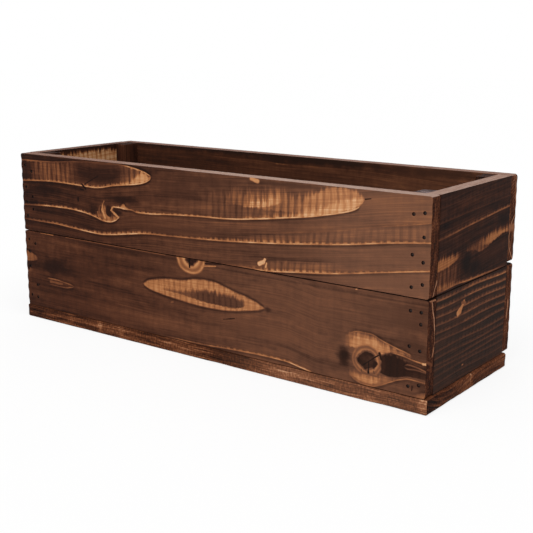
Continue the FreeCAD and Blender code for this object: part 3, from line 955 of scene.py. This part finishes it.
def scorched_face(name, side, figure, seed=0.0):
    """The material of one scorched and brushed face, from its drawing.

    Only a bright band with a clean edge has a scorched rim.
    """
    tree = Tree(name)
    face = Face(tree, side)
    u, v = face.u, face.v
    grain = v - face.read(figure.lines[figure.follow].points, (100, 30, 1), (1, 0, 0))[0]
    texture = read_texture(tree, u, v, grain, seed)
    broad = tree.noise(u / BROAD_SIZE[0], grain / BROAD_SIZE[1], seed + 5)

    tone = texture.fine * figure.streaks + (broad - 0.5) * BROAD_SHARE + face.read(figure.ground)[0]
    tone = texture.bars * broad * BARS_SHARE + texture.patchy * PATCHY_SHARE + tone - 0.5 * figure.streaks
    for cloud in figure.clouds:
        near = tree.maths("MULTIPLY_ADD", texture.patchy, 0.9, face.oval(cloud.at, cloud.size))
        tone = tree.toward(tone, cloud.tone, tree.fade(near, 1.25, 0.2, cloud.strength))
    for band in figure.bands:
        inside, light, rim = band_mark(face, band, texture)
        if band.tone > RIM_TONE and band.ragged < RIM_RAGGED:
            tone = tone * tree.maths("MULTIPLY_ADD", rim, -RIM_SHADE, 1)
        tone = tree.toward(tone, light, inside)
    glows, rims = 0.0, 0.0
    for line in figure.lines:
        glow, rim = line_mark(face, line, texture)
        glows = tree.maths("MAXIMUM", glows, glow)
        rims = tree.maths("MAXIMUM", rims, rim)
    tone = tree.maths("MAXIMUM", tone * (1 - rims * RIM_SHADE), glows * (texture.shade + 0.05))
    for knot in figure.knots:
        tone = add_knot(face, tone, knot, texture.patchy)
    for stroke in figure.strokes:
        tone = tree.toward(tone, stroke.tone, stroke_mark(face, stroke, texture.patchy))

    colour = tree.make("ShaderNodeValToRGB", {"stops": TONE_STOPS}, {0: tone})
    # The haze is added over the ramp's colour: partly a dusty film, partly painted sheen.
    if figure.haze:
        brown, char, _ = face.read(figure.haze)
        mist = tree.toward(char, brown, tree.fade(tone, 0.08, 0.34)) * (1 - glows * 0.5)
        colour = tree.mix(mist, colour, (*DUST_AND_SHEEN, 1), "ADD")
    height = texture.fine * 0.6 + texture.bars * 0.12 - glows * 0.25
    return finish(tree, colour, 0.66 - texture.fine * 0.12 - glows * 0.08, height, 0.35)


# The front's haze grows to the right: a dusty film there, and painted sheen of the light from the right.
FRONT_DUST_AND_SHEEN = ((0, 0, 0), (120, .06, 0), (200, .20, 0), (330, .55, .1), (400, .95, .1), (450, .95, .1))
RIGHT_LOWER_STROKES = (
    Stroke((48.5, 68.5), (52, 70.5), 3.4, .80), Stroke((52, 70.5), (58.5, 75.5), 2.6, .74),
    Stroke((55, 76), (62, 74.4), 1.6, .5), Stroke((60.5, 24), (62, 24.2), 1.3, .62),
    Stroke((44, 67), (47, 66.4), 1.0, .5),
)
FIGURES = {
    # The ground tone of the front's upper board rises from left to right: partly more char at the left,
    # partly painted sheen of the light from the right.
    ("front", "upper"): Figure(
        ((0, .13), (60, .20), (130, .25), (200, .29), (300, .32), (360, .37), (450, .44)), FRONT_DUST_AND_SHEEN,
        FRONT_UPPER_LINES, FRONT_UPPER_BANDS, FRONT_UPPER_CLOUDS, strokes=FRONT_UPPER_STROKES,
        follow=4, streaks=.46),
    ("front", "lower"): Figure(
        ((0, .25), (60, .23), (130, .28), (220, .33), (330, .35), (400, .34), (450, .28)),
        (*FRONT_DUST_AND_SHEEN[:-2], (400, .60, .1), (450, .45, .05)),
        FRONT_LOWER_LINES, FRONT_LOWER_BANDS, FRONT_LOWER_CLOUDS, FRONT_LOWER_KNOTS, FRONT_LOWER_STROKES,
        follow=2, streaks=.30),
    ("right", "upper"): Figure(
        ((0, .11), (60, .11), (150, .12)), (), RIGHT_UPPER_LINES, RIGHT_UPPER_BANDS, RIGHT_UPPER_CLOUDS),
    # On the lower board of the right end the haze is a grey painted sheen.
    ("right", "lower"): Figure(
        ((0, .03), (60, .03), (150, .04)), ((0, .2, .2), (150, .15, .15)), RIGHT_LOWER_LINES,
        strokes=RIGHT_LOWER_STROKES, follow=6, streaks=.30),
}
MATERIALS = {f"{side} {tier} out": scorched_face(f"{side} {tier} face", side, figure, 1.3 + number)
             for number, ((side, tier), figure) in enumerate(FIGURES.items())}
print("nodes on the front's upper face:", len(MATERIALS["front upper out"].node_tree.nodes))

# %% [markdown]
# ## The other outer faces
# The back and the left end take grown lines, with one knot on each back board, and the relief of their
# meshes will read the same drawings.

# %% Faces of the back and the left end
GROWN_FACES = (("back", "upper", 11, Knot((120, 128), (17, 13), .42, 4.2, .12, .46)),
               ("back", "lower", 12, Knot((318, 44), (14, 11.5), .46, 3.6, .10, .48)),
               ("left", "upper", 13, None), ("left", "lower", 16, None))
for side, tier, seed, knot in GROWN_FACES:
    low, high = node_box(f"{side}_{tier}_board" if side == "back" else f"{side}_end_{tier}_board")
    figure = grown_figure(seed, side_span(side), low[2], high[2], knot)
    FIGURES[side, tier] = figure
    MATERIALS[f"{side} {tier} out"] = scorched_face(f"{side} {tier} face", side, figure, float(seed))
print("outer faces:", len(MATERIALS))

# %% [markdown]
# ## Inner faces
# The inside was scorched as well, and hardly brushed. The back wall is black just below the rim, greyed there
# by painted sheen of the light from above, and brown under a thin broken ring line, and the left wall has one
# flame near its top.

# %% Inner faces
# The haze on this face lies mostly on the char below the rim: painted sheen of the light from above.
BACK_INNER = Figure(
    ((0, .24), (200, .30), (330, .36), (450, .44)), ((0, 0, .1), (250, .1, .15), (450, .35, .3)),
    (Line(DOWN, ((0, 160.5, 1.5, .2), (120, 159.4, 1.2, .3), (150, 159, 1.4, .42), (200, 158.4, 1.6, .4),
                 (214, 157.6, 1.2, .62), (226, 157.8, 1.2, .36), (300, 158, 1.6, .44), (330, 157, 1.6, .36),
                 (380, 154.6, 2, .4), (450, 152.5, 2, .4))),
     Line(UP, ((0, 128, 2, .3), (200, 124, 2, .35), (450, 130, 3, .4)))),
    clouds=(Cloud((110, 166), (160, 5), .07, .95), Cloud((250, 163.4), (120, 5), .05, .9),
            Cloud((380, 162), (60, 5), .20, .8), Cloud((250, 140), (150, 9), .34, .5)))
LEFT_INNER = Figure(
    ((0, .14), (150, .12)), (),
    (Line(UP, ((0, 118, 4, .3), (70, 121, 6, .4), (150, 125, 3, .3))),
     Line(UP, ((0, 138, 3, .4), (60, 141, 3, .5), (150, 145, 3, .4)))),
    (Band(.95, ((16, 152, 161, 0), (30, 148, 162.4, .8), (60, 143, 163, 1), (100, 144, 162.6, 1),
                (117, 146, 162, 1), (119.5, 147, 161, .6), (121, 150, 160, 0)), .22, 6),),
    (Cloud((75, 167), (90, 3.4), .10, .9), Cloud((138, 150), (9, 40), .05, .8)))
MATERIALS["back upper in"] = scorched_face("back upper inner face", "front", BACK_INNER, 5.5)
MATERIALS["left upper in"] = scorched_face("left upper inner face", "right", LEFT_INNER, 6.2)
for name, side, seed in (("long in", "front", 21), ("end in", "right", 22)):
    plain = grown_figure(seed, side_span(side), WALL_LOW[2], WALL_HIGH[2])
    plain = plain._replace(lines=plain.lines[::3], bands=(), follow=1)
    MATERIALS[name] = scorched_face(name, side, plain, float(seed))
print("inner and outer faces:", len(MATERIALS))

# %% [markdown]
# ## Rim
# The rim is a sawn edge that handling has rubbed pale, and its pale pinkish colour also holds painted sheen
# of the light from above. Its tone is drawn along each wall, and fine streaks, pores and patches come from
# noise.

# %% Rim
# Pale pinkish stops: wood rubbed pale, and painted sheen of the light from above.
RIM_STOPS = [(0, (.022, .012, .010)), (.25, (.075, .038, .031)), (.45, (.150, .080, .062)),
             (.65, (.245, .140, .105)), (.85, (.320, .200, .155)), (1, (.380, .260, .210))]


def sawn_rim(name, side, tones, seed):
    """A rubbed edge, pale partly from painted sheen: tone drawn along the board, fine streaks along it and
    darker nicks at its arrises.
    """
    tree = Tree(name)
    places = tree.place()
    face = Face(tree, side)
    u, across = face.u, places[1 - SIDES[side][0]]
    fine = tree.noise(u / 26, across / 0.9, seed, 3.0)
    patchy = tree.noise(u / 14, across / 5, seed + 3)
    pores = tree.noise(u / 3.0, across / 1.1, seed + 6)
    tone = face.read(tones)[0]
    tone = tone + (fine - 0.5) * 0.7 + (patchy - 0.5) * 0.5 - tree.fade(pores, 0.62, 0.75) * 0.2
    colour = tree.make("ShaderNodeValToRGB", {"stops": RIM_STOPS}, {0: tone})
    return finish(tree, colour, 0.7 - fine * 0.1, fine + pores * 0.4, 0.3)


# The front rim grows paler to the right: rubbed wood, and painted sheen as on the front's face.
RIM_TONES = {
    "front": ("front", ((0, .58), (120, .70), (230, .90), (350, .96), (450, .92))),
    "back": ("front", ((0, .52), (200, .58), (450, .64))),
    "right": ("right", ((0, .86), (75, .84), (150, .74))),
    "left": ("right", ((0, .60), (60, .46), (110, .44), (150, .62))),
}
for number, (wall, (side, tones)) in enumerate(RIM_TONES.items()):
    MATERIALS[f"{wall} rim"] = sawn_rim(f"{wall} rim", side, tones, 1.0 + number)
print("rims:", len(RIM_TONES))

# %% [markdown]
# ## End grain
# The end grain of the front and back walls shows at the corners, as torn fibres crossed by a few bright
# rings. The rings are arcs round a heart that lies outside the board. Most are so short here that strokes
# draw them, and the back's upper board has its heart.

# %% End grain
GRAIN_STOPS = [(0, (.010, .005, .004)), (.3, (.034, .011, .006)), (.55, (.092, .029, .013)),
               (.75, (.200, .078, .038)), (1, (.420, .210, .125))]
RING_WIDTH = 2.6
Heart = namedtuple("Heart", "at bright glow")


def end_grain(name, tone, seed, marks, heart=None):
    """Torn fibres and soft patches, with drawn marks for the bright rings.

    A board with a heart also has rings by the distance to it: sin(2 pi distance / ring width), and one
    bright ring of its own radius.
    """
    tree = Tree(name)
    face = Face(tree, "right")
    u, v = face.u, face.v
    fibre = tree.noise(u / 0.9, v / 1.4, seed, 3.0)
    patchy = tree.noise(u / 3.5, v / 14, seed + 4)
    tone = (fibre - 0.5) * 1.1 + (patchy - 0.5) * 1.1 + tone
    if heart:
        radius = face.oval(heart.at, (1, 1)) + (patchy - 0.5) * 2.5
        rings = tree.maths("SINE", radius * (2 * pi / RING_WIDTH)) * 0.12
        aside = tree.maths("ABSOLUTE", radius - heart.bright)
        tone = tone + rings - tree.fade(aside, 3.0, 1.0) * 0.15
        tone = tree.toward(tone, heart.glow, tree.fade(aside, 1.0, 0.4))
    for mark in marks:
        tone = tree.toward(tone, mark.tone, stroke_mark(face, mark, fibre - 0.5))
    colour = tree.make("ShaderNodeValToRGB", {"stops": GRAIN_STOPS}, {0: tone})
    return finish(tree, colour, 0.78 - fibre * 0.1, fibre + tone * 0.5, 0.5)


MATERIALS["front upper end"] = end_grain("front upper end grain", .37, 2.0, (
    *chain((14, 106), (9.6, 98.4, .9, .92), (6.4, 90, .9, .86)),
    Stroke((3, 89.8), (12, 89.2), .9, .8), Stroke((5, 160), (5.5, 132), .6, .58)))
MATERIALS["front lower end"] = end_grain("front end grain", .33, 1.0, (
    *chain((5.4, 87), (8, 78, .9, .9), (10.6, 69, .9, .95), (12, 60, .9, 1), (12, 52, .9, .95),
           (8.6, 44.4, .9, .85)),
    Stroke((3, 88.2), (12, 87.6), .9, .8), Stroke((1, 42), (9, 38), 1.6, .6),
    Stroke((2, 36), (8, 34), 1.2, .5)))
MATERIALS["back upper end"] = end_grain("back end grain", .45, 3.0, (
    Stroke((137, 122), (150, 121.4), 4.5, .76), Stroke((146.4, 165), (149.2, 140), 1.2, .8)),
    Heart((163, 113), 23.5, .85))
MATERIALS["back lower end"] = end_grain("back lower end grain", .42, 4.0, (
    Stroke((143.4, 44), (144.6, 58), 1.8, .82), Stroke((141, 20), (144, 30), 1.6, .5),
    Stroke((147, 80), (148, 60), .8, .6)))
print("materials with the end grain:", len(MATERIALS))

# %% [markdown]
# ## Plain stock
# Cleats, joint edges and base boards are plain rough stock, and noise that is long in one direction is
# enough for them. The long edge and the ends of the base show more, so their tone is drawn along the edge.

# %% Cleats, joints and base
BASE_STOPS = [(0, (.011, .005, .0035)), (.25, (.038, .013, .007)), (.5, (.102, .033, .014)),
              (.7, (.190, .067, .029)), (.85, (.300, .125, .058)), (1, (.460, .240, .132))]
# Grey stops for the front right cleat's top: soot, and painted sheen of the light from above.
SOOT_AND_SHEEN_STOPS = [(0, (.012, .008, .008)), (.4, (.042, .028, .027)), (.65, (.090, .062, .060)),
              (1, (.30, .22, .21))]
DUST_AND_SHEEN_FROM, DUST_AND_SHEEN_AT = 230, 330


def plain_wood(name, along, tone, contrast=1.0, seed=0.0, stops=TONE_STOPS, saw=0.0):
    """Rough stock: streaks along one axis, clouds, and the marks of the saw across."""
    tree = Tree(name)
    places = tree.place()
    fine_size, broad_size = [1.0] * 3, [8.0] * 3
    fine_size[along], broad_size[along] = 40.0, 90.0
    fine = tree.noise(*(p / s for p, s in zip(places, fine_size)), 3.0)
    broad = tree.noise(*((p + 50 * seed) / s for p, s in zip(places, broad_size)))
    cross = tree.noise(places[along] / 1.3, places[1 - min(along, 1)] / 30, seed)
    tone = (fine - 0.5) * (0.8 * contrast) + (broad - 0.5) * (0.7 * contrast) + tone + (cross - 0.5) * saw
    colour = tree.make("ShaderNodeValToRGB", {"stops": stops}, {0: tone})
    return finish(tree, colour, 0.74 - fine * 0.12, fine + cross * saw, 0.45)


def base_edge(name, side, tones, seed, lean=0.0, dust_and_sheen=0.0):
    """The rough edge of a base board: torn fibres, which lean up to some place, and on the right a dusty film
    that is partly painted sheen.
    """
    tree = Tree(name)
    face = Face(tree, side)
    u, v = face.u, face.v
    bend = (tree.noise(u / 90, seed, 0.0) - 0.5) * 8 + tree.fade(u, lean, 0.0) * u * 0.4
    fine = tree.noise(u / 22, (v + bend) / 0.75, seed, 4.0)
    broad = tree.noise(u / 60, (v + bend) / 3.2, seed + 2)
    torn = tree.noise(u / 1.6, v / 3.5, seed + 5, 3.0)
    tone = face.read(tones)[0]
    tone = tone + (fine - 0.5) * 1.3 + (broad - 0.5) * 1.1 + (torn - 0.5) * 0.8
    colour = tree.make("ShaderNodeValToRGB", {"stops": BASE_STOPS}, {0: tone})
    # On the right: a dusty film, and painted sheen of the light from the right.
    colour = tree.mix(tree.fade(u, DUST_AND_SHEEN_FROM, DUST_AND_SHEEN_AT, dust_and_sheen), colour, (*DUST_AND_SHEEN, 1), "ADD")
    return finish(tree, colour, 0.75 - fine * 0.12, fine + torn * 0.6, 0.6)


BASE_FRONT_TONES = (
    (0, .30), (30, .36), (56, .46), (62, .54), (70, .44), (98, .44), (103, .74), (108, .50), (126, .50),
    (131, .64), (137, .50), (200, .48), (260, .38), (290, .50), (320, .62), (360, .55), (410, .54),
    (430, .44), (442, .44), (447, .70), (450, .7))
BASE_END_TONES = ((0, .10), (12, .14), (20, .32), (50, .36), (70, .56), (77, .52), (82, .38), (150, .46))
MATERIALS["base front"] = base_edge("base front edge", "front", BASE_FRONT_TONES, 1.0, dust_and_sheen=.6)
MATERIALS["base end"] = base_edge("base end", "right", BASE_END_TONES, 2.0, lean=90.0)
MATERIALS["base face"] = plain_wood("base face", 0, .42, 0.8, 3.0, BASE_STOPS, 0.25)
MATERIALS["joint along"] = plain_wood("joint edge of a long board", 0, .12, 0.6, 1.0)
MATERIALS["joint across"] = plain_wood("joint edge of an end board", 1, .12, 0.6, 2.0)
MATERIALS["cleat"] = plain_wood("cleat side", 2, .22, 1.0, 4.0)
# Near-black recess walls: painted shade inside the brad holes.
MATERIALS["pit"] = plain_wood("wall of a brad's recess", 2, .0, 0.2, 6.0)
# The cleat tops are darker than their sides: darker end grain, and painted shade of the rim.
MATERIALS["cleat top"] = plain_wood("cleat top", 2, .16, 0.8, 5.0)
# The front right cleat's top is pale grey: soot, and painted sheen.
MATERIALS["sooty cleat top"] = plain_wood("sooty cleat top", 2, .62, 1.8, 5.0, SOOT_AND_SHEEN_STOPS, 0.6)
print("wood materials:", len(MATERIALS))

# %% [markdown]
# ## Brads
# The brads keep their measured shape. Their heads sit below the surface and have gone dark, so they are a
# rough dark steel with a touch of rust.

# %% Brad steel
steel = Tree("brad steel")
steel_places = steel.place()
rust = steel.noise(*(place / 0.8 for place in steel_places))
steel_colour = steel.mix(steel.fade(rust, 0.4, 0.7), (.020, .018, .018, 1), (.060, .028, .016, 1))
steel_bump = steel.make("ShaderNodeBump", {}, {"Height": rust, "Distance": 0.05 * MM})
steel_shader = steel.make("ShaderNodeBsdfPrincipled", {}, {
    "Base Color": steel_colour, "Metallic": 0.7, "Roughness": rust * 0.3 + 0.4, "Normal": steel_bump})
steel.make("ShaderNodeOutputMaterial", {}, {0: steel_shader}, ())
brad_groups = [brads for name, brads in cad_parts.items() if name.endswith("_brads")]
for brads in brad_groups:
    for material_slot in brads.material_slots:
        material_slot.material = steel.owner
print("groups of brads:", len(brad_groups))

# %% [markdown]
# ## Boards
# Every board is built by one function: skin, holes, rounding, wear, relief, mesh. The holes go where the
# frame's own brads have their heads, so that each brad is seen at the bottom of its recess.

# %% Building a board
STEP = 1.35
BRAD_HOLE = ((1.45, 0), (1.2, 0.15), (1.06, 0.45), (1.03, 1.6))
DRAIN_RIM = ((4.6, 0), (4.12, 0.25), (4.0, 0.8))
HEAD_REACH = 2.5
SAME_PLANE = 0.05
RELIEF = 0.22
OUT_FACE = {"front": "-y", "back": "+y", "left": "-x", "right": "+x"}


def head_places(node, axis, side):
    """Where a group's brads sit: the points in the plane of the heads, parted into clusters."""
    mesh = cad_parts[node].data
    points = np.empty(len(mesh.vertices) * 3, np.float32)
    mesh.vertices.foreach_get("co", points)
    points = points.reshape(-1, 3).astype(float) / MM
    plane = points[:, axis].min() if side == "-" else points[:, axis].max()
    points = points[np.abs(points[:, axis] - plane) < SAME_PLANE]
    points = np.delete(points, axis, axis=1)
    heads = []
    while len(points):
        near = np.linalg.norm(points - points[0], axis=1) < HEAD_REACH
        heads.append((points[near].min(0) + points[near].max(0)) / 2)
        points = points[~near]
    return heads


def holes_of(group, face):
    """The holes that a group of brads needs in a face."""
    return [(face, place) for place in head_places(group, AXES.index(face[1]), face[0])]


def build_board(node, faces, along, arris=0.4, wear=0.25, hollows=(0.3, 0.3), blunt=0.0, holes=(),
                bores=(), drawn=None, seed=0):
    """Makes the skin that stands for one measured piece of wood. drawn holds its outer side and figure."""
    low, high = node_box(node)
    skin = Skin(low, high, arris, STEP)
    for face, place in holes:
        skin.punch_pit(face, place, BRAD_HOLE)
    for place in bores:
        skin.bore(place, DRAIN_RIM)
    points, normals = rounded(skin)
    if blunt:
        blunt_corners(points, low, high, blunt, [along, 2])
    depth = wear_depth(points, low, high, along, wear, seed)
    if drawn:
        side, figure = drawn
        axis = AXES.index(OUT_FACE[side][1])
        facing = np.clip(normals[:, axis] * (-1 if OUT_FACE[side][0] == "-" else 1), 0, 1)
        depth += RELIEF * facing ** 2 * figure_light(figure, *on_side(side, points.T))
    points = points - normals * depth[:, None]
    hollow_ends(points, low, high, along, hollows, seed + 2)
    points = np.clip(points, low, high) + skin.sunk
    quads, on_face = skin.quads()
    used, quads = np.unique(quads, return_inverse=True)
    quads = quads.reshape(-1, 4)
    mesh = bpy.data.meshes.new(node + "_wood")
    mesh.from_pydata((points[used] * MM).tolist(), [], quads.tolist())
    for name in [faces[face] for face in skin.cells] + ["pit"] * bool(holes):
        mesh.materials.append(MATERIALS[name])
    mesh.polygons.foreach_set("material_index", on_face.astype(np.int32))
    mesh.polygons.foreach_set("use_smooth", np.ones(len(quads), bool))
    mesh.update()
    board = bpy.data.objects.new(node + "_wood", mesh)
    bpy.context.scene.collection.objects.link(board)
    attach(board, "root")
    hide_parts(node)
    return board


print("grid step on a board:", STEP, "mm")

# %% [markdown]
# ## Walls
# The boards of the front and the back run the full length, and the end boards stand between them. A board
# takes six materials, one for each of its faces: its outer and inner face, its rim or joint edges, and its
# end grain. The ends of an end board are hidden in the corners.

# %% Walls
INNER = {("back", "upper"): "back upper in", ("left", "upper"): "left upper in"}
TIERS = ("upper", "lower")
boards = []


def wall_faces(side, tier, inside, joint, ends):
    """The materials of a wall board's faces, by the face's name."""
    out = OUT_FACE[side]
    opposite = ("+" if out[0] == "-" else "-") + out[1]
    across = AXES[1 - AXES.index(out[1])]
    top = f"{side} rim" if tier == "upper" else joint
    return {out: f"{side} {tier} out", opposite: INNER.get((side, tier), inside),
            "-" + across: ends, "+" + across: ends, "+z": top, "-z": joint}


for number, (side, tier) in enumerate(product(("front", "back"), TIERS)):
    faces = wall_faces(side, tier, "long in", "joint along", f"{side} {tier} end")
    holes = [hole for hand in ("left", "right")
             for hole in holes_of(f"{side}_{tier}_{hand}_brads", OUT_FACE[side])]
    boards.append(build_board(f"{side}_{tier}_board", faces, 0, arris=0.3, holes=holes,
                              blunt=2.6, hollows=(0.8, 0.3), drawn=(side, FIGURES[side, tier]),
                              seed=30 + 5 * number))
for number, (side, tier) in enumerate(product(("left", "right"), TIERS)):
    faces = wall_faces(side, tier, "end in", "joint across", "joint across")
    boards.append(build_board(f"{side}_end_{tier}_board", faces, 1, hollows=(0, 0),
                              drawn=(side, FIGURES[side, tier]), seed=60 + 5 * number))
print("wall boards:", len(boards))

# %% [markdown]
# ## Cleats and base
# The cleats are upright strips of plain stock. The one at the front right has a pale grey end grain on top,
# which is soot and painted sheen, and the tops of the others are darker, partly with painted shade of the
# rim. The base boards are rougher than the walls, with worn arrises, and two holes in each let the water out.

# %% Cleats and base
for number, (side, hand) in enumerate(product(("front", "back"), ("left", "right"))):
    top = "sooty cleat top" if (side, hand) == ("front", "right") else "cleat top"
    faces = dict.fromkeys(("-x", "+x", "-y", "+y"), "cleat") | {"-z": "cleat top", "+z": top}
    inner = "+x" if hand == "left" else "-x"
    boards.append(build_board(f"{side}_{hand}_cleat", faces, 2, hollows=(0, 0), wear=0.5,
                              holes=holes_of(f"{side}_{hand}_cleat_brads", inner), seed=90 + 5 * number))
DRAIN_X, DRAIN_Y = 110.0, 32.0
for place, sign in (("front", -1), ("rear", 1)):
    faces = dict.fromkeys(("-z", "+z"), "base face") | {"-x": "base end", "+x": "base end"}
    faces |= {"-y": "base front", "+y": "base front"}
    drains = [(x, sign * DRAIN_Y) for x in (-DRAIN_X, DRAIN_X)]
    boards.append(build_board(f"{place}_base_board", faces, 0, arris=1.5, wear=1.1, blunt=2.0,
                              holes=holes_of(f"{place}_base_brads", "-z"), bores=drains, seed=120 + sign))
triangles = {board.name: 2 * len(board.data.polygons) for board in boards}
largest = max(triangles, key=triangles.get)
print("triangles:", sum(triangles.values()), "in all, most on", largest, triangles[largest])
